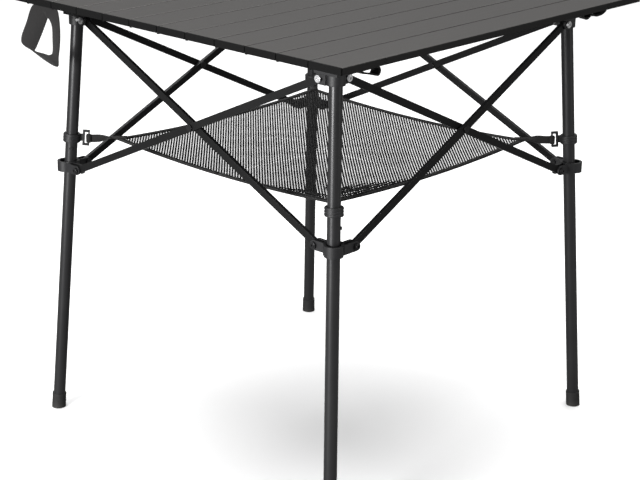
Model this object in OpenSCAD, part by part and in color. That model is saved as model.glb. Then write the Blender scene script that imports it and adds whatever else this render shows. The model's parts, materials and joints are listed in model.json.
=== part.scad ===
// Folding camp kitchen table: roll-up slatted top on a four-leg scissor frame, with a net shelf.
// Origin at the middle of the footprint on the floor. X runs along the slats, Y across them, Z up.
// The frame repeats four times about Z: near (-X -Y), left (-X +Y), far (+X +Y), right (+X -Y).
// All sizes are millimetres.

/* [Table] */
// Overall width and depth of the top
table_size = 700; // [500:10:900]
// Height of the top face above the floor
table_height = 700; // [400:10:800]

/* [Slats] */
// Number of slats in the top
slat_count = 12; // [8:1:14]
// Open gap between two slats
slat_gap = 1.4546; // [1:0.1:3]
// Depth of a slat's body
slat_depth = 10; // [8:0.5:14]
// Extra depth of the lip on the far edge
lip_drop = 1; // [0.5:0.5:2]
// Width of that lip
lip_width = 3.5; // [2:0.5:6]
// Wall thickness of the hollow slat
slat_wall = 1.4; // [1:0.1:2]
// Bevel along the top edges
slat_bevel = 1; // [0.4:0.1:2]
// Thickness of an end cap's flange
cap_flange = 3; // [2:0.5:6]
// Depth of an end cap's plugs
cap_plug = 12; // [6:1:20]
// Diameter of the elastic cord that strings the slats together
cord_d = 4; // [3:0.5:5]
// Distance of each cord from the middle of the slats
cord_at = 262; // [200:1:320]

/* [Legs] */
// Distance from the middle to a leg's axis at the hinge pin, on each axis
leg_top = 270; // [200:1:320]
// The same distance at the floor
leg_foot = 306.5; // [220:1:340]
// Height of the hinge pins and top arm bolts
pin_z = 658; // [400:1:760]
// Outside diameter of a leg tube
tube_d = 19.4; // [16:0.2:25]
// Wall thickness of a leg tube
tube_wall = 1.2; // [1:0.1:2]
// How far the tube reaches above its pin
tube_above = 21; // [15:1:25]
// Outside diameter of a rubber foot cap
foot_d = 22.8; // [20:0.2:30]
// Height of a foot cap
foot_h = 25; // [15:1:40]
// Rubber under the end of the tube
foot_sole = 5; // [3:0.5:8]
// Height of the small stop rivet on a leg
stop_z = 451; // [440:1:470]
// Diameter of the stop rivet
stop_d = 5; // [3:0.5:8]
// How far the stop rivet stands out of the tube
stop_out = 1.8; // [1:0.1:3]

/* [Arms] */
// Height of the lower arm bolts when the table stands
slider_z = 421; // [300:1:520]
// Height of an arm's flat bar
arm_h = 11; // [8:0.5:16]
// Thickness of an arm
arm_t = 6; // [3:0.5:8]
// How far the outer arm of a side stands outside the leg axis
outer_offset = 8; // [7:0.5:10]
// Distance along a side from a leg's axis to its top arm bolt
bolt_reach = 18; // [17:0.5:24]
// Diameter of the arm bolts and cross rivets
bolt_d = 6; // [5:0.5:8]
// Radial clearance of a bolt in its holes
bolt_clear = 0.05; // [0.02:0.01:0.1]
// Diameter of a bolt head
head_d = 10.5; // [8:0.5:14]
// Height of a bolt head
head_h = 2.6; // [2:0.1:4]
// Width of a nut across its corners
nut_d = 9.5; // [8:0.1:12]
// Width of the hex socket in a bolt head
socket_w = 4.2; // [3:0.1:6]
// Depth of that socket
socket_deep = 1.8; // [1:0.1:3]

/* [Brackets and sliders] */
// Outside radius of a bracket's socket
socket_r = 13.6; // [12:0.1:16]
// Radial room around the tube in a bracket, for its small tilt
socket_clear = 1.15; // [1:0.05:1.5]
// Underside of a bracket
bracket_low = 650; // [640:1:655]
// Top of a bracket, just under the slats
bracket_top = 688.4; // [680:0.1:688.6]
// Underside of the bracket's cap block
cap_block_low = 665; // [664:1:675]
// Reach of the cap block outside a leg's axis
cap_block_out = 15.5; // [14:0.5:18]
// Reach of the cap block towards the middle
cap_block_in = 27; // [25:0.5:32]
// Thickness of a cheek beside an arm
cheek_t = 3.5; // [2.5:0.1:5]
// Side clearance between an arm and a cheek
cheek_gap = 0.3; // [0.2:0.05:0.5]
// Start of a cheek, from the leg's axis
cheek_root = 6; // [4:0.5:10]
// Height of a slider's cheeks
slider_cheek_h = 14.5; // [13:0.5:20]
// Height of a slider
slider_h = 16.5; // [16:1:30]
// Wall of a slider's sleeve
slider_wall = 4; // [3:0.1:6]
// Radial room around the tube in a slider
slider_clear = 0.7; // [0.5:0.05:1]
// Extra length of the slider's slot, outwards along the diagonal
slider_slot = 7; // [5:0.5:9]
// Diameter of a bracket's hinge pin
pin_d = 5; // [4:0.5:6]

/* [Net shelf] */
// Height of the net
net_z = 465; // [440:1:490]
// Half the side of the square net
net_half = 232; // [180:1:250]
// Thickness of the net panels
net_t = 1.6; // [1:0.1:3]
// Gap between two quarters of the net
net_gap = 0.8; // [0.4:0.1:2]
// Width of a corner strap
strap_w = 10; // [8:0.5:16]
// Middle height of a net collar
collar_z = 467; // [460:1:480]
// How far the near collar's ring is pushed up
near_ring_up = 8; // [0:1:10]
// Height of a collar's ring
collar_h = 13.5; // [12:0.5:30]
// Outside radius of that ring
collar_r = 13.8; // [12:0.1:16]
// Ribs around a net collar
collar_ribs = 3; // [2:1:6]
// Thickness of the collar's web and hook
hook_t = 5; // [3:0.5:8]
// Reach of the hook from the leg's axis
hook_reach = 28; // [24:0.5:34]
// Width of the slot in the hook
hook_slot = 5; // [4:0.5:8]

/* [Straps] */
// Thickness of a folded end of webbing
webbing_t = 5; // [3:0.1:8]
// Thickness of the closure strap's twisted loop
strap_t = 8; // [4:0.5:12]
// Middle of that loop's thickness, from the middle of the slats
strap_at = 336; // [300:1:340]

/* [Hidden] */
$fn = 64;
tube_r = tube_d / 2;
slat_w = (table_size - (slat_count - 1) * slat_gap) / slat_count;
slat_pitch = slat_w + slat_gap;
slope = (leg_foot - leg_top) / pin_z;
tilt = atan(slope * sqrt(2));
leg_len = sqrt(pin_z * pin_z + 2 * pow(leg_foot - leg_top, 2));
arm_drop = pin_z - slider_z;
skew_out = slope * arm_drop;
half_span = leg_top - bolt_reach;
arm_flat = sqrt(arm_drop * arm_drop + 4 * half_span * half_span);
arm_angle = atan(arm_drop / (2 * half_span));
skew_angle = atan(skew_out / arm_flat);
arm_len = sqrt(arm_flat * arm_flat + skew_out * skew_out);
slider_at = leg_top + skew_out;
slider_reach = slider_at - half_span;
cross_z = pin_z - arm_drop / 2;
cross_n = leg_top + skew_out / 2;
cheek_half = arm_t / 2 + cheek_gap;
cheek_out = cheek_half + cheek_t;
bracket_cheek_h = 2 * (pin_z - bracket_low);

// Which node to draw

// Places a near-corner part at corner k, counted clockwise seen from above.
module at_corner(k) rotate([0, 0, -90 * k]) children();

// Frame of the near leg: local Z runs up the tube, with its origin at the hinge pin.
// Local X points outwards along the diagonal.
module on_leg() translate([-leg_top, -leg_top, pin_z]) rotate([0, 0, -135])
    rotate([0, -tilt, 0]) children();

// Cylinder along X, centred.
module bar_x(d, len) rotate([0, 90, 0]) cylinder(d = d, h = len, center = true);

// Cylinder along Y, centred.
module bar_y(d, len) rotate([90, 0, 0]) cylinder(d = d, h = len, center = true);

// Outside shape of one slat, with its top face at Z = 0 and its near edge at Y = 0.
module slat_shape(len) rotate([90, 0, 90]) linear_extrude(height = len, center = true)
    polygon([[0, -slat_depth], [0, -slat_bevel], [slat_bevel, 0], [slat_w - slat_bevel, 0],
        [slat_w, -slat_bevel], [slat_w, -slat_depth - lip_drop],
        [slat_w - lip_width, -slat_depth - lip_drop], [slat_w - lip_width, -slat_depth]]);

// One of the slat's three inner chambers, shrunk by c on each side.
module chamber(i, len, c) {
    inner = (slat_w - 4 * slat_wall) / 3;
    translate([0, slat_wall + i * (inner + slat_wall) + inner / 2, -slat_depth / 2])
        cube([len, inner - 2 * c, slat_depth - 2 * slat_wall - 2 * c], center = true);
}

// End cap with a flange and a plug in each chamber. s: 1 for the +X end, -1 for the -X end.
module end_cap(s) {
    body = table_size / 2 - cap_flange;
    intersection() {
        slat_shape(table_size);
        translate([s * (body + cap_flange / 2 + bolt_clear), slat_w / 2, 0])
            cube([cap_flange, 2 * slat_w, 4 * slat_depth], center = true);
    }
    for (i = [0:2]) intersection() {
        chamber(i, table_size, bolt_clear);
        translate([s * (body - cap_plug / 2 + 1), slat_w / 2, -slat_depth / 2])
            cube([cap_plug + 2, 2 * slat_w, slat_depth], center = true);
    }
}

module slat(i) color([0.36, 0.35, 0.33])
    translate([0, -table_size / 2 + (i - 1) * slat_pitch, table_height]) {
        difference() {
            slat_shape(table_size - 2 * cap_flange);
            for (c = [0:2]) chamber(c, table_size, 0);
            for (x = [-cord_at, cord_at]) translate([x, slat_w / 2, -slat_depth / 2])
                bar_y(cord_d + 1, 2 * slat_w);
        }
        for (s = [-1, 1]) end_cap(s);
        for (x = [-cord_at, cord_at]) translate([x, slat_w / 2, -slat_depth / 2])
            bar_y(cord_d, slat_w);
    }

// Webbing loop that ties the rolled top, hanging in a triangle under the eleventh slat.
module closure_strap() color([0.06, 0.06, 0.06]) translate([-strap_at, 0, 0])
    rotate([90, 0, 90]) linear_extrude(height = strap_t, center = true) difference() {
        polygon([[235, 688.8], [287, 688.8], [332, 632], [322, 616], [262, 597], [240, 601],
            [234, 650]]);
        polygon([[262, 680], [309, 634], [256, 617]]);
    }

// Folded end of webbing under the first slat.
module front_tab(x, w, h) color([0.10, 0.09, 0.09])
    translate([x, -339, table_height - slat_depth - 0.5 - h / 2])
        cube([w, webbing_t, h], center = true);

// Two cheeks beside an arm's end, round about the bolt. reach: from the leg axis to the bolt
// along +Y. n: how far the arm stands outside the axis, towards -X.
module cheeks(reach, n, height) for (s = [-1, 1])
    translate([-n + s * (cheek_half + cheek_t / 2), 0, 0]) {
        translate([0, (cheek_root + reach) / 2, 0])
            cube([cheek_t, reach - cheek_root, height], center = true);
        translate([0, reach, 0]) bar_x(height, cheek_t);
    }

// Room between a bracket's cheeks for the round end of an arm, and for the arm to hang down.
module arm_room(reach, n) translate([-n, reach, 0]) {
    bar_x(arm_h + 1, 2 * cheek_half);
    translate([0, 0, -arm_h]) cube([2 * cheek_half, arm_h + 1, 2 * arm_h], center = true);
}

module top_bracket(k) color([0.07, 0.07, 0.075]) at_corner(k) difference() {
    translate([-leg_top, -leg_top, pin_z]) difference() {
        union() {
            translate([0, 0, bracket_low - pin_z])
                cylinder(r = socket_r, h = bracket_top - bracket_low);
            translate([-cap_block_out, -cap_block_out, cap_block_low - pin_z])
                cube([cap_block_out + cap_block_in, cap_block_out + cap_block_in,
                    bracket_top - cap_block_low]);
            cheeks(bolt_reach, outer_offset, bracket_cheek_h);
            rotate([0, 0, -90]) cheeks(bolt_reach, 0, bracket_cheek_h);
        }
        arm_room(bolt_reach, outer_offset);
        rotate([0, 0, -90]) arm_room(bolt_reach, 0);
        translate([-outer_offset, bolt_reach, 0]) bar_x(bolt_d + 2 * bolt_clear, 60);
        translate([bolt_reach, 0, 0]) bar_y(bolt_d + 2 * bolt_clear, 60);
        rotate([0, 0, -45]) bar_x(pin_d + 2 * bolt_clear, 60);
    }
    on_leg() translate([0, 0, -30])
        cylinder(r = tube_r + socket_clear, h = 30 + tube_above + 2);
}

// Bolt along X through an arm, with a raised head and hex socket outside and a nut inside.
module arm_bolt() {
    bar_x(bolt_d, 2 * cheek_out + 1);
    translate([-cheek_out - head_h / 2 - 0.5, 0, 0]) difference() {
        union() {
            bar_x(head_d, head_h);
            translate([-head_h / 2 - 0.4, 0, 0]) bar_x(head_d - 3, 1);
        }
        translate([-head_h / 2 - 0.9, 0, 0]) rotate([0, 90, 0])
            cylinder(d = socket_w, h = 2 * socket_deep, center = true, $fn = 6);
    }
    translate([cheek_out + 1.5, 0, 0]) rotate([0, 90, 0])
        cylinder(d = nut_d, h = 2, center = true, $fn = 6);
}

module bracket_bolts(k) color([0.75, 0.75, 0.77]) at_corner(k)
    translate([-leg_top, -leg_top, pin_z]) {
        translate([-outer_offset, bolt_reach, 0]) arm_bolt();
        translate([bolt_reach, 0, 0]) rotate([0, 0, 90]) arm_bolt();
        rotate([0, 0, -45]) bar_x(pin_d, 2 * socket_r - 1);
    }

module leg_tube(k) color([0.20, 0.20, 0.21]) at_corner(k) on_leg() difference() {
    union() {
        translate([0, 0, -leg_len + foot_sole])
            cylinder(r = tube_r, h = leg_len - foot_sole + tube_above);
        translate([0, tube_r - 1 + (1 + stop_out) / 2, (stop_z - pin_z) / cos(tilt)])
            bar_y(stop_d, 1 + stop_out);
    }
    translate([0, 0, -leg_len + foot_sole - 1])
        cylinder(r = tube_r - tube_wall, h = leg_len - foot_sole + tube_above + 2);
    bar_y(pin_d + 4 * bolt_clear, 60);
}

module foot_cap(k) color([0.05, 0.05, 0.05]) at_corner(k) difference() {
    on_leg() difference() {
        translate([0, 0, -leg_len - 10]) cylinder(d = foot_d, h = foot_h + 10);
        translate([0, 0, -leg_len + foot_sole])
            cylinder(r = tube_r + bolt_clear, h = foot_h);
        for (z = [8, 13, 18]) translate([0, 0, -leg_len + z]) difference() {
            cylinder(d = foot_d + 2, h = 1);
            translate([0, 0, -1]) cylinder(d = foot_d - 0.8, h = 3);
        }
    }
    translate([-leg_foot - 50, -leg_foot - 50, -50]) cube([100, 100, 50]);
}

// A collar's clamped ring with its ribs.
module collar_ring() {
    cylinder(r = collar_r - 0.8, h = collar_h, center = true);
    for (i = [0:collar_ribs - 1])
        translate([0, 0, -collar_h / 2 + (i + 0.5) * collar_h / collar_ribs])
            cylinder(r = collar_r, h = collar_h / collar_ribs / 2, center = true);
}

module net_collar(k) color([0.07, 0.07, 0.075]) at_corner(k) on_leg()
    translate([0, 0, (collar_z - pin_z) / cos(tilt)]) difference() {
        union() {
            translate([0, 0, k == 0 ? near_ring_up : 0]) collar_ring();
            rotate([90, 0, 0]) linear_extrude(height = hook_t - 2, center = true)
                polygon([[-tube_r - 1, -collar_h / 2], [-tube_r - 1, collar_h / 2],
                    [-hook_reach + 8, collar_h / 2], [-hook_reach + 8, -collar_h / 2 + 4]]);
            difference() {
                translate([-hook_reach + 5.5, 0, 1]) cube([11, hook_t, 25], center = true);
                translate([-hook_reach + 5, 0, 1])
                    cube([hook_slot, hook_t + 2, 19], center = true);
            }
        }
        cylinder(r = tube_r + bolt_clear, h = 3 * collar_h, center = true);
    }

module slider(k) color([0.07, 0.07, 0.075]) at_corner(k) difference() {
    translate([-slider_at, -slider_at, slider_z]) difference() {
        union() {
            rotate([0, 0, -135]) {
                cylinder(r = tube_r + slider_wall + 1, h = slider_h, center = true);
                translate([slider_slot, 0, 0])
                    cylinder(r = tube_r + slider_wall, h = slider_h, center = true);
                translate([slider_slot / 2, 0, 0])
                    cube([slider_slot, 2 * (tube_r + slider_wall), slider_h], center = true);
            }
            cheeks(slider_reach, 0, slider_cheek_h);
            rotate([0, 0, -90]) cheeks(slider_reach, -outer_offset, slider_cheek_h);
        }
        translate([0, slider_reach, 0]) bar_x(bolt_d + 2 * bolt_clear, 60);
        translate([slider_reach, -outer_offset, 0]) bar_y(bolt_d + 2 * bolt_clear, 60);
    }
    on_leg() translate([0, 0, (slider_z - pin_z) / cos(tilt)]) {
        cylinder(r = tube_r + slider_clear, h = 3 * slider_h, center = true);
        translate([slider_slot, 0, 0])
            cylinder(r = tube_r + slider_clear, h = 3 * slider_h, center = true);
        translate([slider_slot / 2, 0, 0])
            cube([slider_slot, 2 * (tube_r + slider_clear), 3 * slider_h], center = true);
    }
}

module slider_bolts(k) color([0.75, 0.75, 0.77]) at_corner(k)
    translate([-slider_at, -slider_at, slider_z]) {
        translate([0, slider_reach, 0]) arm_bolt();
        translate([slider_reach, -outer_offset, 0]) rotate([0, 0, 90]) arm_bolt();
    }

// Flat arm of the near-left side. dir: 1 for the outer arm, -1 for the inner arm.
// n: how far its top end stands outside the leg axis.
module arm(dir, n) difference() {
    translate([-leg_top - n, -dir * half_span, pin_z]) rotate([-dir * arm_angle, 0, 0])
        rotate([0, 0, dir * skew_angle]) {
            translate([0, dir * arm_len / 2, 0]) cube([arm_t, arm_len, arm_h], center = true);
            bar_x(arm_h, arm_t);
            translate([0, dir * arm_len, 0]) bar_x(arm_h, arm_t);
        }
    translate([-leg_top - n, -dir * half_span, pin_z]) bar_x(bolt_d + 2 * bolt_clear, 30);
    translate([-slider_at - n, dir * half_span, slider_z]) bar_x(bolt_d + 2 * bolt_clear, 30);
    translate([-cross_n - n, 0, cross_z]) bar_x(bolt_d + 2 * bolt_clear, 30);
}

module arm_outer(k) color([0.19, 0.19, 0.20]) at_corner(k) arm(1, outer_offset);

module arm_inner(k) color([0.19, 0.19, 0.20]) at_corner(k) arm(-1, 0);

// Rivet through both arms of a side, with a washer between them.
module cross_rivet(k) color([0.75, 0.75, 0.77]) at_corner(k)
    translate([-cross_n - outer_offset / 2, 0, cross_z]) {
        bar_x(bolt_d, outer_offset + arm_t + 1);
        bar_x(head_d, outer_offset - arm_t - 2 * cheek_gap);
        for (s = [-1, 1]) translate([s * (outer_offset / 2 + arm_t / 2 + 1.4), 0, 0])
            bar_x(head_d, 2);
    }

// Length of a corner strap, from the net's corner to just before the hook.
function strap_len() =
    (leg_top + slope * (pin_z - net_z) - net_half) * sqrt(2) - hook_reach - 0.8;

// One quarter of the net, with the strap that ties its corner to the collar's hook.
module net_quarter(k) color([0.05, 0.05, 0.05]) at_corner(k) {
    translate([-net_half, -net_half, net_z - net_t / 2])
        cube([net_half - net_gap / 2, net_half - net_gap / 2, net_t]);
    translate([-net_half, -net_half, net_z]) rotate([0, 0, -135])
        translate([-strap_w, -strap_w / 2, -net_t / 2])
            cube([strap_len() + strap_w, strap_w, net_t]);
}

slat(1);  // slat_01
slat(2);  // slat_02
slat(3);  // slat_03
slat(4);  // slat_04
slat(5);  // slat_05
slat(6);  // slat_06
slat(7);  // slat_07
slat(8);  // slat_08
slat(9);  // slat_09
slat(10);  // slat_10
slat(11);  // slat_11
slat(12);  // slat_12
closure_strap();
front_tab(-288, 40, 8.5);  // front_tab_left
front_tab(231, 60, 9);  // front_tab_right
top_bracket(0);  // top_bracket_near
top_bracket(1);  // top_bracket_left
top_bracket(2);  // top_bracket_far
top_bracket(3);  // top_bracket_right
bracket_bolts(0);  // bracket_bolts_near
bracket_bolts(1);  // bracket_bolts_left
bracket_bolts(2);  // bracket_bolts_far
bracket_bolts(3);  // bracket_bolts_right
leg_tube(0);  // leg_tube_near
leg_tube(1);  // leg_tube_left
leg_tube(2);  // leg_tube_far
leg_tube(3);  // leg_tube_right
foot_cap(0);  // foot_cap_near
foot_cap(1);  // foot_cap_left
foot_cap(2);  // foot_cap_far
foot_cap(3);  // foot_cap_right
net_collar(0);  // net_collar_near
net_collar(1);  // net_collar_left
net_collar(2);  // net_collar_far
net_collar(3);  // net_collar_right
slider(0);  // slider_near
slider(1);  // slider_left
slider(2);  // slider_far
slider(3);  // slider_right
slider_bolts(0);  // slider_bolts_near
slider_bolts(1);  // slider_bolts_left
slider_bolts(2);  // slider_bolts_far
slider_bolts(3);  // slider_bolts_right
arm_outer(0);  // arm_outer_near_left
arm_outer(1);  // arm_outer_left_far
arm_outer(2);  // arm_outer_far_right
arm_outer(3);  // arm_outer_right_near
arm_inner(0);  // arm_inner_near_left
arm_inner(1);  // arm_inner_left_far
arm_inner(2);  // arm_inner_far_right
arm_inner(3);  // arm_inner_right_near
cross_rivet(0);  // cross_rivet_near_left
cross_rivet(1);  // cross_rivet_left_far
cross_rivet(2);  // cross_rivet_far_right
cross_rivet(3);  // cross_rivet_right_near
net_quarter(0);  // net_near
net_quarter(1);  // net_left
net_quarter(2);  // net_far
net_quarter(3);  // net_right
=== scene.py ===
"""Camp kitchen table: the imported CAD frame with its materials, the mesh shelf and the webbing.

Metres throughout, in the frame's own axes: X along the slats, Y across them, Z up.
The frame repeats four times about Z, so most pieces are made for the near leg (-X -Y)
and turned a quarter for the left, far and right legs.
"""
import json
import math

import bpy
from mathutils import Matrix, Vector, noise


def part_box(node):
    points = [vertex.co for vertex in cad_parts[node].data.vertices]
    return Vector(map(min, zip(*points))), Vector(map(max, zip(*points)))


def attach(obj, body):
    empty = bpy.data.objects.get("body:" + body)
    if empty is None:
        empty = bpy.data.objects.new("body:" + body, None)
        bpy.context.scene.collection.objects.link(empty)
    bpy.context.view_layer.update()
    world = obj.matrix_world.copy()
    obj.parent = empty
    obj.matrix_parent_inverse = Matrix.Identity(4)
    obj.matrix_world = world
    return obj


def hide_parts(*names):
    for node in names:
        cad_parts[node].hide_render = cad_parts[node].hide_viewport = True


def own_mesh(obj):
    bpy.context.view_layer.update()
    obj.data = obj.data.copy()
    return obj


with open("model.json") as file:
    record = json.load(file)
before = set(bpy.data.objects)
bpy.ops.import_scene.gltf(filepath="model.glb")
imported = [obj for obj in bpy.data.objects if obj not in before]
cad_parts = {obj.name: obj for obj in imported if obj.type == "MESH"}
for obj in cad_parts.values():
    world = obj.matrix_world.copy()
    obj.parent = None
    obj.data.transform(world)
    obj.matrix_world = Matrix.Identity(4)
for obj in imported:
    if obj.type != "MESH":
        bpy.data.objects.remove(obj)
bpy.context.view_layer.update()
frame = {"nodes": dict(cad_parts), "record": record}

CORNERS = ("near", "left", "far", "right")
MM = 0.001
TABLE = 0.7  # side and height of the table
NET_HALF = 0.232  # half the side of the net
NET_Z = 0.465  # height of the net's corners
NET_SAG = 0.009  # how far the middle of an edge hangs below the corners
LEG_TOP, LEG_FOOT, PIN_Z = 0.270, 0.3065, 0.658  # a leg's axis at its pin and at the floor
HOOK_REACH = 0.028  # the hook's inner face, from the leg's axis
CAP_REACH = 0.00305  # the end caps' flange, measured in from the ends of a slat
GROOVE_SHADE_DEPTH = 0.0005  # depth below the top from which a slat's sides get painted shade, so the grooves look dark
SQUARE_ON = 0.999  # a flat face square to X or Y has a larger normal than this, and gets the steel's painted shade
QUARTER = math.radians(90)
DIAGONAL = math.sqrt(2)

# the picture's view, as azimuth, dip and roll in degrees, the place and the lens in mm
VIEW = (-47.66, 19.27, 0.92)
VIEW_FROM = (-1.9505, -1.7769, 1.2167)
LENS, SENSOR = 96.5, 36.0
# the floor and backdrop look pale to the camera and light the table less than that
FLOOR_REACH = 14.0
FLOOR_LIT, BACKDROP_LIT = (0.16, 0.16, 0.16), 0.30
LOOK_AT = (0, 0, 0.4)
# name, place, size and power of each light
LAMPS = (("key", (-3.4, -0.1, 0.9), 1.4, 180),
         ("top", (0.3, 0.5, 4.2), 5.0, 330),
         ("fill", (1.4, -3.4, 1.0), 0.7, 22))


def leg_at(z):
    """How far a leg's axis is from the middle, on each axis, at height z."""
    return LEG_TOP + (LEG_FOOT - LEG_TOP) * (PIN_Z - z) / PIN_Z


def turned(k):
    """The turn that takes the near leg's pieces to corner k, clockwise from above."""
    return Matrix.Rotation(-QUARTER * k, 4, "Z")


# ---------------------------------------------------------------- materials


class Nodes:
    """Short ways to build a material's node tree."""

    def __init__(self, name):
        self.material = bpy.data.materials.new(name)
        self.material.use_nodes = True
        self.tree = self.material.node_tree
        self.shader = self.tree.nodes["Principled BSDF"]
        texture = self.add("ShaderNodeTexCoord")
        self.coords, self.facing = texture.outputs["Object"], texture.outputs["Normal"]

    def add(self, kind, **settings):
        node = self.tree.nodes.new(kind)
        for key, value in settings.items():
            setattr(node, key, value)
        return node

    def link(self, a, b):
        self.tree.links.new(a, b)

    def stretched(self, scale):
        node = self.add("ShaderNodeMapping")
        node.inputs["Scale"].default_value = scale
        self.link(self.coords, node.inputs["Vector"])
        return node.outputs["Vector"]

    def noise(self, scale, detail=3.0, rough=0.55, vector=None):
        node = self.add("ShaderNodeTexNoise")
        node.inputs["Scale"].default_value = scale
        node.inputs["Detail"].default_value = detail
        node.inputs["Roughness"].default_value = rough
        self.link(vector or self.coords, node.inputs["Vector"])
        return node.outputs["Fac"]

    def ramp(self, value, low, high):
        """Maps 0..1 onto low..high."""
        node = self.add("ShaderNodeMapRange")
        node.inputs["To Min"].default_value = low
        node.inputs["To Max"].default_value = high
        self.link(value, node.inputs["Value"])
        return node.outputs["Result"]

    def math(self, operation, a, b=None):
        node = self.add("ShaderNodeMath", operation=operation)
        for slot, value in zip(node.inputs, (a, b)):
            if value is None:
                continue
            if isinstance(value, (int, float)):
                slot.default_value = value
            else:
                self.link(value, slot)
        return node.outputs[0]

    def mix(self, factor, a, b):
        """Colour a where the factor is 0, b where it is 1."""
        node = self.add("ShaderNodeMix", data_type="RGBA")
        self.link(factor, node.inputs["Factor"])
        for slot, value in ((node.inputs[6], a), (node.inputs[7], b)):
            if isinstance(value, tuple):
                slot.default_value = (*value, 1.0)
            else:
                self.link(value, slot)
        return node.outputs[2]

    def edges(self, radius, sharp=0.06):
        """A rounded normal for crisp edges, and a mask that is 1 along them."""
        bevel = self.add("ShaderNodeBevel", samples=4)
        bevel.inputs["Radius"].default_value = radius
        plain = self.add("ShaderNodeNewGeometry")
        dot = self.add("ShaderNodeVectorMath", operation="DOT_PRODUCT")
        self.link(bevel.outputs["Normal"], dot.inputs[0])
        self.link(plain.outputs["Normal"], dot.inputs[1])
        away = self.math("SUBTRACT", 1.0, dot.outputs["Value"])
        mask = self.math("MINIMUM", self.math("DIVIDE", away, sharp), 1.0)
        return bevel.outputs["Normal"], mask

    def falls(self, start, mask, drop):
        """Start where the mask is 0, less the drop where it is 1."""
        return self.math("SUBTRACT", start, self.math("MULTIPLY", mask, drop))

    def rises(self, start, mask, gain):
        """Start where the mask is 0, plus the gain where it is 1."""
        return self.math("ADD", start, self.math("MULTIPLY", mask, gain))

    def axes(self, vector):
        node = self.add("ShaderNodeSeparateXYZ")
        self.link(vector, node.inputs[0])
        return node.outputs

    def bump(self, height, strength, distance, normal=None):
        node = self.add("ShaderNodeBump")
        node.inputs["Strength"].default_value = strength
        node.inputs["Distance"].default_value = distance
        self.link(height, node.inputs["Height"])
        if normal:
            self.link(normal, node.inputs["Normal"])
        self.link(node.outputs["Normal"], self.shader.inputs["Normal"])

    def colour(self, value):
        self.link(value, self.shader.inputs["Base Color"])

    def roughness(self, value):
        self.link(value, self.shader.inputs["Roughness"])

    def fixed(self, **values):
        for key, value in values.items():
            self.shader.inputs[key.replace("_", " ")].default_value = value


def shade(colour, factor):
    return tuple(c * factor for c in colour)


def anodised_slat():
    """Dark warm grey anodised aluminium, grained along X, with painted shade on the sides below the
    top for dark grooves, and black end caps.
    """
    m = Nodes("anodised_slat")
    base = (0.046, 0.044, 0.042)
    rounded, edge = m.edges(0.0009)
    grain = m.noise(1.0, 4.0, 0.6, m.stretched((6.0, 900.0, 900.0)))
    cloud = m.noise(7.0, 2.0)
    metal = m.mix(m.ramp(grain, 0.0, 1.0), shade(base, 0.88), shade(base, 1.12))
    metal = m.mix(m.ramp(cloud, 0.0, 0.35), metal, shade(base, 1.18))
    worn = m.math("MULTIPLY", edge, m.ramp(m.noise(90.0), 0.35, 0.95))
    metal = m.mix(worn, metal, (0.13, 0.126, 0.122))
    axes = m.axes(m.coords)
    cap = m.math("GREATER_THAN", m.math("ABSOLUTE", axes["X"]), TABLE / 2 - CAP_REACH)
    # painted shade: all below the top, the sides and the grooves between slats, is darkened towards
    # black
    side = m.math("LESS_THAN", axes["Z"], TABLE - GROOVE_SHADE_DEPTH)
    metal = m.mix(m.math("MULTIPLY", side, 0.95), metal, shade(base, 0.12))
    m.colour(m.mix(cap, metal, m.mix(grain, (0.003, 0.003, 0.003), (0.007, 0.007, 0.007))))
    m.link(m.math("MULTIPLY", m.math("SUBTRACT", 1.0, cap), 0.6), m.shader.inputs["Metallic"])
    m.link(m.falls(0.5, cap, 0.42), m.shader.inputs["Specular IOR Level"])
    m.roughness(m.rises(m.ramp(grain, 0.40, 0.54), cap, 0.30))
    m.bump(grain, 0.10, 0.0002, rounded)
    return m.material


def grey_steel():
    """Dark grey satin powder coat with rubbed edges, with painted shade making it blacker and duller
    on faces square to X or Y, the arms' flat sides.
    """
    m = Nodes("grey_steel")
    facing = m.axes(m.facing)
    along = [m.math("ABSOLUTE", facing[axis]) for axis in "XY"]
    flat = m.math("GREATER_THAN", m.math("MAXIMUM", *along), SQUARE_ON)
    rounded, edge = m.edges(0.0008)
    peel = m.noise(900.0, 2.0)
    cloud = m.noise(14.0, 3.0)
    coat = m.mix(m.ramp(cloud, 0.0, 1.0), (0.020, 0.020, 0.021), (0.030, 0.030, 0.031))
    rubbed = m.math("MULTIPLY", edge, m.ramp(m.noise(60.0), 0.1, 0.7))
    # painted shade: faces square to X or Y, mostly the arms' broad sides, are darkened nearly to
    # black
    coat = m.mix(m.math("MULTIPLY", flat, 0.75), coat, (0.004, 0.004, 0.004))
    m.colour(m.mix(rubbed, coat, (0.07, 0.07, 0.072)))
    m.link(m.falls(0.5, flat, 0.3), m.shader.inputs["Specular IOR Level"])
    m.link(m.falls(0.15, flat, 0.13), m.shader.inputs["Coat Weight"])
    m.roughness(m.rises(m.ramp(cloud, 0.27, 0.36), flat, 0.2))
    m.fixed(Metallic=0.4, Coat_Roughness=0.3)
    m.bump(peel, 0.12, 0.0002, rounded)
    return m.material


def black_plastic():
    """Moulded black plastic with a fine spark-eroded grain and softened edges."""
    m = Nodes("black_plastic")
    rounded, edge = m.edges(0.0012)
    grain = m.noise(1400.0, 2.0)
    cloud = m.noise(25.0, 3.0)
    body = m.mix(m.ramp(cloud, 0.0, 1.0), (0.006, 0.006, 0.007), (0.012, 0.012, 0.013))
    scuffed = m.math("MULTIPLY", edge, m.ramp(m.noise(70.0), 0.05, 0.6))
    m.colour(m.mix(scuffed, body, (0.035, 0.035, 0.036)))
    m.roughness(m.ramp(grain, 0.38, 0.60))
    m.bump(grain, 0.25, 0.0003, rounded)
    return m.material


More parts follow.
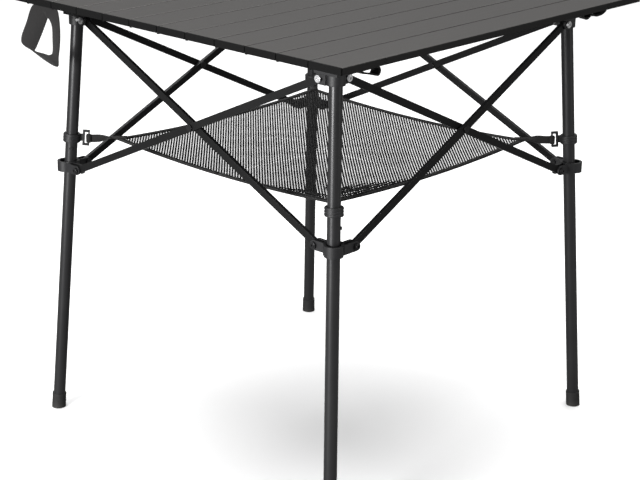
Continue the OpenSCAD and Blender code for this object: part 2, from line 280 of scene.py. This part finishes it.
def plated_bolt():
    """Bright zinc plate with turning marks."""
    m = Nodes("plated_bolt")
    rounded, _ = m.edges(0.0006)
    marks = m.noise(700.0, 3.0)
    cloud = m.noise(120.0, 2.0)
    m.colour(m.mix(m.ramp(cloud, 0.0, 1.0), (0.78, 0.78, 0.79), (0.90, 0.90, 0.90)))
    m.roughness(m.ramp(marks, 0.30, 0.50))
    m.fixed(Metallic=1.0)
    m.bump(marks, 0.15, 0.0002, rounded)
    return m.material


def dark_bolt():
    """Black oxide steel, satin, with faint turning marks."""
    m = Nodes("dark_bolt")
    rounded, edge = m.edges(0.0006)
    marks = m.noise(700.0, 3.0)
    body = m.mix(m.ramp(m.noise(90.0), 0.0, 1.0), (0.014, 0.014, 0.015), (0.030, 0.030, 0.031))
    rubbed = m.math("MULTIPLY", edge, m.ramp(m.noise(160.0), 0.1, 0.7))
    m.colour(m.mix(rubbed, body, (0.11, 0.11, 0.11)))
    m.roughness(m.ramp(marks, 0.24, 0.40))
    m.fixed(Metallic=0.6)
    m.bump(marks, 0.12, 0.0002, rounded)
    return m.material


def foot_rubber():
    """Matt black rubber, dustier near the floor."""
    m = Nodes("foot_rubber")
    rounded, _ = m.edges(0.0012)
    grain = m.noise(1100.0, 3.0)
    low = m.add("ShaderNodeMapRange")
    low.inputs["From Min"].default_value = 0.012
    low.inputs["From Max"].default_value = 0.0
    m.link(m.axes(m.coords)["Z"], low.inputs["Value"])
    dust = m.math("MULTIPLY", low.outputs["Result"], m.ramp(m.noise(220.0), 0.2, 0.9))
    m.colour(m.mix(dust, (0.008, 0.008, 0.008), (0.035, 0.033, 0.030)))
    m.roughness(m.ramp(grain, 0.62, 0.85))
    m.bump(grain, 0.35, 0.0004, rounded)
    return m.material


def woven(name, dark, light, rib, rough):
    """Woven black webbing: cross ribs, fine threads and a soft sheen."""
    m = Nodes(name)
    wave = m.add("ShaderNodeTexWave", wave_type="BANDS", bands_direction="DIAGONAL")
    wave.inputs["Scale"].default_value = rib
    wave.inputs["Distortion"].default_value = 0.6
    m.link(m.coords, wave.inputs["Vector"])
    threads = m.noise(1500.0, 3.0)
    cloud = m.noise(30.0, 2.0)
    both = m.math("ADD", m.math("MULTIPLY", wave.outputs["Fac"], 0.7),
                  m.math("MULTIPLY", threads, 0.3))
    cloth = m.mix(both, dark, light)
    m.colour(m.mix(m.ramp(cloud, 0.0, 0.4), cloth, light))
    m.roughness(m.ramp(threads, rough - 0.08, rough + 0.08))
    m.fixed(Sheen_Weight=0.08, Sheen_Roughness=0.5, Specular_IOR_Level=0.25)
    m.bump(both, 0.6, 0.0004)
    return m.material


MATERIALS = {
    "anodised_slat": anodised_slat(),
    "grey_steel": grey_steel(),
    "black_plastic": black_plastic(),
    "plated_bolt": plated_bolt(),
    "dark_bolt": dark_bolt(),
    "foot_rubber": foot_rubber(),
    "mesh_fabric": woven("mesh_fabric", (0.003, 0.003, 0.003), (0.010, 0.010, 0.011), 700, 0.8),
    "webbing": woven("webbing", (0.004, 0.004, 0.004), (0.018, 0.017, 0.017), 420, 0.78),
}


def dress_frame():
    """Gives every CAD node the finish of its material slot."""
    for row in frame["record"]["subparts"]:
        node = frame["nodes"][row["node"]]
        node.data.materials.clear()
        node.data.materials.append(MATERIALS[row["material_slot"]])


# ---------------------------------------------------------------- mesh helpers


def piece(name, points, faces, material, body, k=0, smooth=True):
    """A new mesh object made for the near leg, turned to corner k, riding on a body."""
    mesh = bpy.data.meshes.new(name)
    mesh.from_pydata([turned(k) @ Vector(p) for p in points], [], faces)
    mesh.validate()
    mesh.update()
    mesh.materials.append(MATERIALS[material])
    for face in mesh.polygons:
        face.use_smooth = smooth
    obj = bpy.data.objects.new(name, mesh)
    bpy.context.scene.collection.objects.link(obj)
    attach(obj, body)
    return obj


def sweep(rows, closed=False):
    """Faces and points of a tube whose cross sections are the rows, each a ring of points."""
    count = len(rows[0])
    points = [p for row in rows for p in row]
    faces = []
    for i in range(len(rows) if closed else len(rows) - 1):
        here, there = i * count, (i + 1) % len(rows) * count
        for j in range(count):
            other = (j + 1) % count
            faces.append((here + j, here + other, there + other, there + j))
    if not closed:
        faces.append(tuple(range(count))[::-1])
        faces.append(tuple(range((len(rows) - 1) * count, len(rows) * count)))
    return points, faces


def tape_ring(centre, across, up, width, thick):
    """Cross section of a tape with rounded edges."""
    half, h = width / 2, thick / 2
    outline = [(-half, 0), (-half + h, -h), (half - h, -h), (half, 0), (half - h, h), (-half + h, h)]
    return [centre + across * a + up * b for a, b in outline]


def tape(name, centres, acrosses, width, thick, material, body, k=0, closed=False):
    """A tape along the centres, with its width (one, or one each) along the across directions."""
    rows = []
    count = len(centres)
    for i, (centre, across) in enumerate(zip(centres, acrosses)):
        if closed:
            along = centres[(i + 1) % count] - centres[i - 1]
        else:
            along = centres[min(i + 1, count - 1)] - centres[max(i - 1, 0)]
        across = across.normalized()
        up = along.cross(across).normalized()
        wide = width[i] if isinstance(width, list) else width
        rows.append(tape_ring(centre, across, up, wide, thick))
    points, faces = sweep(rows, closed)
    return piece(name, points, faces, material, body, k)


# ---------------------------------------------------------------- mesh shelf


def net_height(x, y):
    """Height of the hanging net, with small wrinkles across the near-far diagonal."""
    u, v = x / NET_HALF, y / NET_HALF
    sag = NET_SAG * ((1 - u * u) + (1 - v * v))
    inside = max(0.0, (1 - u * u) * (1 - v * v))
    along, across = (x + y) / DIAGONAL, (x - y) / DIAGONAL
    wrinkle = 0.0004 * inside * math.sin(along * 110 + 4 * noise.noise(Vector((x * 9, y * 9, 0))))
    wrinkle += 0.0012 * inside * math.sin(across * 34 + along * 9)
    return NET_Z - sag + wrinkle


STRAND_PITCH = (0.0041, 0.0060)  # between the near-far diagonal's columns, and across them
COLUMN_W, CROSS_W, STRAND_T = 0.0028, 0.0014, 0.0008
STRAND_STEP = 0.010
STRAND_LIFT = 0.0003  # half the distance between the two layers of strands


def strand_lines(half, pitch, along_diagonal):
    """Lines at one pitch over the near quarter, as (start, end) in plan."""
    lines = []
    count = int(half * DIAGONAL / pitch)
    if along_diagonal:
        for i in range(-count // 2, count // 2 + 1):
            q = (i + 0.5) * pitch
            low, high = -half * DIAGONAL + abs(q), -abs(q)
            if high - low > 2 * pitch:
                lines.append([((p + q) / DIAGONAL, (p - q) / DIAGONAL) for p in (low, high)])
    else:
        for i in range(count + 1):
            p = -(i + 0.5) * pitch
            reach = min(-p, p + half * DIAGONAL)
            if reach > pitch / 3:
                lines.append([((p + q) / DIAGONAL, (p - q) / DIAGONAL) for q in (-reach, reach)])
    return lines


def net_quarter(k):
    """The open mesh of one quarter, as crossing strands that follow the sag."""
    corner = CORNERS[k]
    turn = turned(k)
    points, faces = [], []
    near_far = STRAND_PITCH if k % 2 == 0 else STRAND_PITCH[::-1]
    for along_diagonal, pitch in ((True, near_far[0]), (False, near_far[1])):
        width = COLUMN_W if along_diagonal == (k % 2 == 0) else CROSS_W
        for (x0, y0), (x1, y1) in strand_lines(NET_HALF - 0.002, pitch, along_diagonal):
            length = math.hypot(x1 - x0, y1 - y0)
            steps = max(2, round(length / STRAND_STEP))
            side = Vector((-(y1 - y0), x1 - x0, 0)) / length
            rows = []
            for i in range(steps + 1):
                t = i / steps
                x, y = x0 + (x1 - x0) * t, y0 + (y1 - y0) * t
                world = turn @ Vector((x, y, 0))
                lift = STRAND_LIFT if along_diagonal else -STRAND_LIFT
                centre = Vector((x, y, net_height(world.x, world.y) + lift))
                a, b = side * width / 2, Vector((0, 0, STRAND_T / 2))
                rows.append([centre - a, centre - b, centre + a, centre + b])
            more_points, more_faces = sweep(rows)
            base = len(points)
            points += more_points
            faces += [tuple(base + i for i in face) for face in more_faces]
    obj = piece(f"shelf_mesh_{corner}", points, faces, "mesh_fabric", f"net_{corner}", k, False)
    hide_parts(f"net_{corner}")
    return obj


RIM_W, RIM_T, RIM_STEPS = 0.011, 0.0022, 24


def net_rim(k):
    """The bound edge along the two outer sides of one quarter, with mitred ends."""
    corner = CORNERS[k]
    turn = turned(k)
    centres, acrosses = [], []
    line = NET_HALF - RIM_W / 2 + 0.001
    for i in range(RIM_STEPS + 1):
        centres.append(Vector((-line, -line * i / RIM_STEPS, 0)))
        acrosses.append(Vector((1, 0, 0)))
    acrosses[-1] = Vector((1, 1, 0))
    for i in range(1, RIM_STEPS + 1):
        centres.append(Vector((-line * (1 - i / RIM_STEPS), -line, 0)))
        acrosses.append(Vector((0, 1, 0)))
    rows = []
    for centre, across in zip(centres, acrosses):
        world = turn @ centre
        centre.z = net_height(world.x, world.y)
        rows.append(tape_ring(centre, across, Vector((0, 0, 1)), RIM_W, RIM_T))
    points, faces = sweep(rows)
    return piece(f"shelf_rim_{corner}", points, faces, "webbing", f"net_{corner}", k)


STRAP_W, STRAP_T, STRAP_STEPS = 0.013, 0.0024, 28
STRAP_ON_NET = 0.018  # how far the strap is sewn along the net


def corner_strap(k):
    """Strap from the net's corner to the hook: flat on the net, on edge at the hook."""
    corner = CORNERS[k]
    out = Vector((-1, -1, 0)).normalized()
    side = Vector((1, -1, 0)).normalized()
    up = Vector((0, 0, 1))
    start = Vector((-NET_HALF, -NET_HALF, NET_Z))
    hook = (leg_at(NET_Z) - NET_HALF) * DIAGONAL - HOOK_REACH - 0.0022
    centres, acrosses = [], []
    for i in range(STRAP_STEPS + 1):
        s = -STRAP_ON_NET + (hook + STRAP_ON_NET) * (i / STRAP_STEPS)
        turn = min(1.0, max(0.0, (s + 0.002) / (hook - 0.006)))
        angle = QUARTER * (3 * turn**2 - 2 * turn**3)
        centres.append(start + out * s + up * (0.0018 * (1 - turn)))
        acrosses.append(side * math.cos(angle) + up * math.sin(angle))
    return tape(f"shelf_strap_{corner}", centres, acrosses, STRAP_W, STRAP_T, "webbing",
                f"net_{corner}", k)


def hook_loop(k):
    """The strap's end round the hook's inner bar, which stays with the leg."""
    corner = CORNERS[k]
    out = Vector((-1, -1, 0)).normalized()
    side = Vector((1, -1, 0)).normalized()
    up = Vector((0, 0, 1))
    bar_in = leg_at(NET_Z) * DIAGONAL - HOOK_REACH
    ring = []
    half_r, half_s, r = 0.0024, 0.0036, 0.0022
    for cx, cy, a0 in ((1, 1, 0), (-1, 1, 90), (-1, -1, 180), (1, -1, 270)):
        for j in range(5):
            a = math.radians(a0 + 22.5 * j)
            ring.append((cx * (half_r - r + 0.0008) + r * math.cos(a),
                         cy * (half_s - r) + r * math.sin(a)))
    middle = out * (bar_in + 0.00125) + up * NET_Z
    tape(f"hook_loop_{corner}", [middle + out * a + side * b for a, b in ring],
         [up] * len(ring), STRAP_W, STRAP_T * 0.8, "webbing", f"leg_{corner}", k, closed=True)


FOLD_STEPS = 30
# side of the near corner, whether it runs along Y, rows, first row's end, and what each row loses
FOLDS = (("right", 0, 8, 0.205, 0.020), ("left", 1, 3, 0.150, 0.030))


def net_folds_and_shade():
    """Wavy folds where the net is slack, along the near corner's two edges, as solid dark strips:
    partly the folds' gathered fabric, partly painted shade in them.
    """
    pieces = []
    for name, side, rows, first_end, shorter in FOLDS:
        points, faces = [], []
        for row in range(rows):
            inset = 0.009 + 0.0085 * row
            start = 0.012 + 0.007 * row
            length = first_end - shorter * row
            ring = []
            for i in range(FOLD_STEPS + 1):
                a = start + (length - start) * i / FOLD_STEPS
                b = inset + 0.0045 * noise.noise(Vector((a * 24, row * 3.7, side)))
                x, y = (b - NET_HALF, a - NET_HALF) if side else (a - NET_HALF, b - NET_HALF)
                centre = Vector((x, y, net_height(x, y) + 0.0018))
                across = Vector((1, 0, 0)) if side else Vector((0, 1, 0))
                taper = 0.0050 * math.sin(math.pi * (0.06 + 0.88 * i / FOLD_STEPS))
                ring.append(tape_ring(centre, across, Vector((0, 0, 1)), taper, 0.0012))
            more_points, more_faces = sweep(ring)
            base = len(points)
            points += more_points
            faces += [tuple(base + i for i in face) for face in more_faces]
        # the strips are solid, not open mesh: partly gathered fabric, partly painted shade of the
        # folds
        pieces.append(piece(f"shelf_folds_and_shade_{name}", points, faces, "mesh_fabric", "net_near"))
    return pieces


def crumple(obj):
    """Gives the piece its own copy of its mesh."""
    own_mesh(obj)


def net_shelf():
    for k in range(4):
        mesh = net_quarter(k)
        rim = net_rim(k)
        strap = corner_strap(k)
        hook_loop(k)
        folds = net_folds_and_shade() if k == 0 else []
        for obj in (mesh, rim, *folds):
            crumple(obj)


# ---------------------------------------------------------------- webbing under the top


def smooth_path(stops, per_span, closed=True):
    """A smooth curve through the stops, as points, by Catmull-Rom spans."""
    points = []
    count = len(stops)
    for i in range(count if closed else count - 1):
        if closed:
            p0, p1, p2, p3 = (stops[(i + j) % count] for j in (-1, 0, 1, 2))
        else:
            p0, p1, p2, p3 = (stops[min(max(i + j, 0), count - 1)] for j in (-1, 0, 1, 2))
        for j in range(per_span):
            t = j / per_span
            points.append(0.5 * (2 * p1 + (p2 - p0) * t + (2 * p0 - 5 * p1 + 4 * p2 - p3) * t * t
                                 + (3 * p1 - p0 - 3 * p2 + p3) * t**3))
    if not closed:
        points.append(stops[-1])
    return points


def closure_strap():
    """The twisted webbing loop under the eleventh slat, hanging in a triangle."""
    low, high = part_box("closure_strap")
    top = Vector(((low[0] + high[0]) / 2, low[1], high[2]))
    # outer and inner edge of the band, as (x, y, z) from the top of its CAD box
    edges = (
        ((-1, 24, 0.5), (1, 29, -20)), ((-4, 55, -2), (3, 31, -23)), ((-5, 73, -33), (4, 48, -50)),
        ((-4, 88, -58), (4, 62, -72)), ((-1, 89, -70), (2, 63, -75)), ((4, 75, -77), (-3, 54, -76)),
        ((6, 41, -90), (-4, 34, -75)), ((3, 10, -93), (-4, 21, -75)), ((-2, 1, -76), (2, 20, -71)),
        ((-4, -6, -52), (3, 20, -50)), ((-4, -7, -28), (3, 20, -34)), ((-2, -2, -8), (2, 23, -24)),
        ((0, 7, 0), (1, 27, -20)))
    outer, inner = ([Vector(pair[i]) * MM + top for pair in edges] for i in (0, 1))
    outer, inner = smooth_path(outer, 5), smooth_path(inner, 5)
    centres = [(a + b) / 2 for a, b in zip(outer, inner)]
    acrosses = [a - b for a, b in zip(outer, inner)]
    widths = [across.length for across in acrosses]
    strap = tape("closure_webbing", centres, acrosses, widths, 0.0018, "webbing", "top_slat_11",
                 closed=True)
    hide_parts("closure_strap")


TAB_W, TAB_T = 0.018, 0.0018


def front_loop():
    """A folded loop of webbing under the first slat, flat on one side and round at its end."""
    low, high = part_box("front_tab_left")
    y = (low[1] + high[1]) / 2
    left, right, top = low[0], high[0], high[2] - 0.0005
    bottom = top - 0.0115
    radius = (top - bottom) / 2
    stops = [Vector((left, y, top - 0.001)), Vector(((left + right) / 2, y, top)),
             Vector((right - radius, y, top))]
    stops += [Vector((right - radius + radius * math.sin(a), y, top - radius + radius * math.cos(a)))
              for a in (math.radians(d) for d in (45, 90, 135, 180))]
    stops += [Vector((left + 0.014, y, bottom + 0.0055)), Vector((left + 0.003, y, top - 0.0035))]
    centres = smooth_path(stops, 6)
    loop = tape("front_webbing_left", centres, [Vector((0, 1, 0))] * len(centres), TAB_W, TAB_T,
                "webbing", "top_slat_01", closed=True)
    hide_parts("front_tab_left")
    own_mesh(loop)


def front_bunch():
    """A bunched end of webbing under the first slat, in three small waves."""
    low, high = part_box("front_tab_right")
    y = (low[1] + high[1]) / 2
    drop = high[2] - low[2] - 0.002
    stops = []
    for t, share in ((0, 0.05), (0.12, 0.75), (0.24, 0.95), (0.36, 0.35), (0.48, 0.30),
                     (0.62, 0.9), (0.76, 0.85), (0.88, 0.4), (1.0, 0.06)):
        stops.append(Vector((low[0] + (high[0] - low[0]) * t, y, high[2] - 0.001 - drop * share)))
    centres = smooth_path(stops, 5, closed=False)
    acrosses = [Vector((0.1 * math.sin(0.3 * i), 1, 0.15 * math.sin(0.4 * i)))
                for i in range(len(centres))]
    tab = tape("front_webbing_right", centres, acrosses, 0.017, TAB_T, "webbing", "top_slat_01")
    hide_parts("front_tab_right")
    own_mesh(tab)


# ---------------------------------------------------------------- light, floor and camera


def floor():
    mesh = bpy.data.meshes.new("floor")
    r = FLOOR_REACH
    mesh.from_pydata([(-r, -r, 0), (r, -r, 0), (r, r, 0), (-r, r, 0)], [], [(0, 1, 2, 3)])
    obj = bpy.data.objects.new("floor", mesh)
    bpy.context.scene.collection.objects.link(obj)
    m = Nodes("floor")
    pale = m.mix(m.noise(1.5, 2.0), (0.93, 0.93, 0.93), (0.95, 0.95, 0.95))
    seen = m.add("ShaderNodeLightPath").outputs["Is Camera Ray"]
    m.colour(m.mix(seen, FLOOR_LIT, pale))
    m.fixed(Roughness=0.9, Specular_IOR_Level=0.1)
    mesh.materials.append(m.material)


def area_light(name, place, size, power):
    light = bpy.data.lights.new(name, "AREA")
    light.shape = "DISK"
    light.size = size
    light.energy = power
    obj = bpy.data.objects.new(name, light)
    obj.location = place
    obj.rotation_euler = (Vector(LOOK_AT) - Vector(place)).to_track_quat("-Z", "Y").to_euler()
    bpy.context.scene.collection.objects.link(obj)


def lights():
    """A white backdrop for the camera, dimmer for what it lights, and a key from the left."""
    world = bpy.data.worlds.new("studio")
    bpy.context.scene.world = world
    world.use_nodes = True
    tree = world.node_tree
    backdrop = tree.nodes["Background"]
    backdrop.inputs["Color"].default_value = (1, 1, 1, 1)
    path = tree.nodes.new("ShaderNodeLightPath")
    level = tree.nodes.new("ShaderNodeMapRange")
    level.inputs["To Min"].default_value = BACKDROP_LIT
    level.inputs["To Max"].default_value = 1.0
    tree.links.new(path.outputs["Is Camera Ray"], level.inputs["Value"])
    tree.links.new(level.outputs["Result"], backdrop.inputs["Strength"])
    for lamp in LAMPS:
        area_light(*lamp)


def camera():
    """The viewing angle of the picture: azimuth, dip and roll, with a long lens."""
    azimuth, dip, roll = (math.radians(a) for a in VIEW)
    ahead = Vector((-math.sin(azimuth) * math.cos(dip), math.cos(azimuth) * math.cos(dip),
                    -math.sin(dip)))
    right = Vector((math.cos(azimuth), math.sin(azimuth), 0))
    up = right.cross(ahead)
    rolled = right * math.cos(roll) + up * math.sin(roll)
    above = up * math.cos(roll) - right * math.sin(roll)
    data = bpy.data.cameras.new("camera")
    data.sensor_width = SENSOR
    data.lens = LENS
    obj = bpy.data.objects.new("camera", data)
    turn = Matrix((rolled, above, -ahead)).transposed().to_4x4()
    obj.matrix_world = Matrix.Translation(VIEW_FROM) @ turn
    bpy.context.scene.collection.objects.link(obj)
    bpy.context.scene.camera = obj


camera()
lights()
floor()
dress_frame()
net_shelf()
closure_strap()
front_loop()
front_bunch()

bpy.context.scene.view_settings.view_transform = "Standard"
bpy.context.view_layer.update()
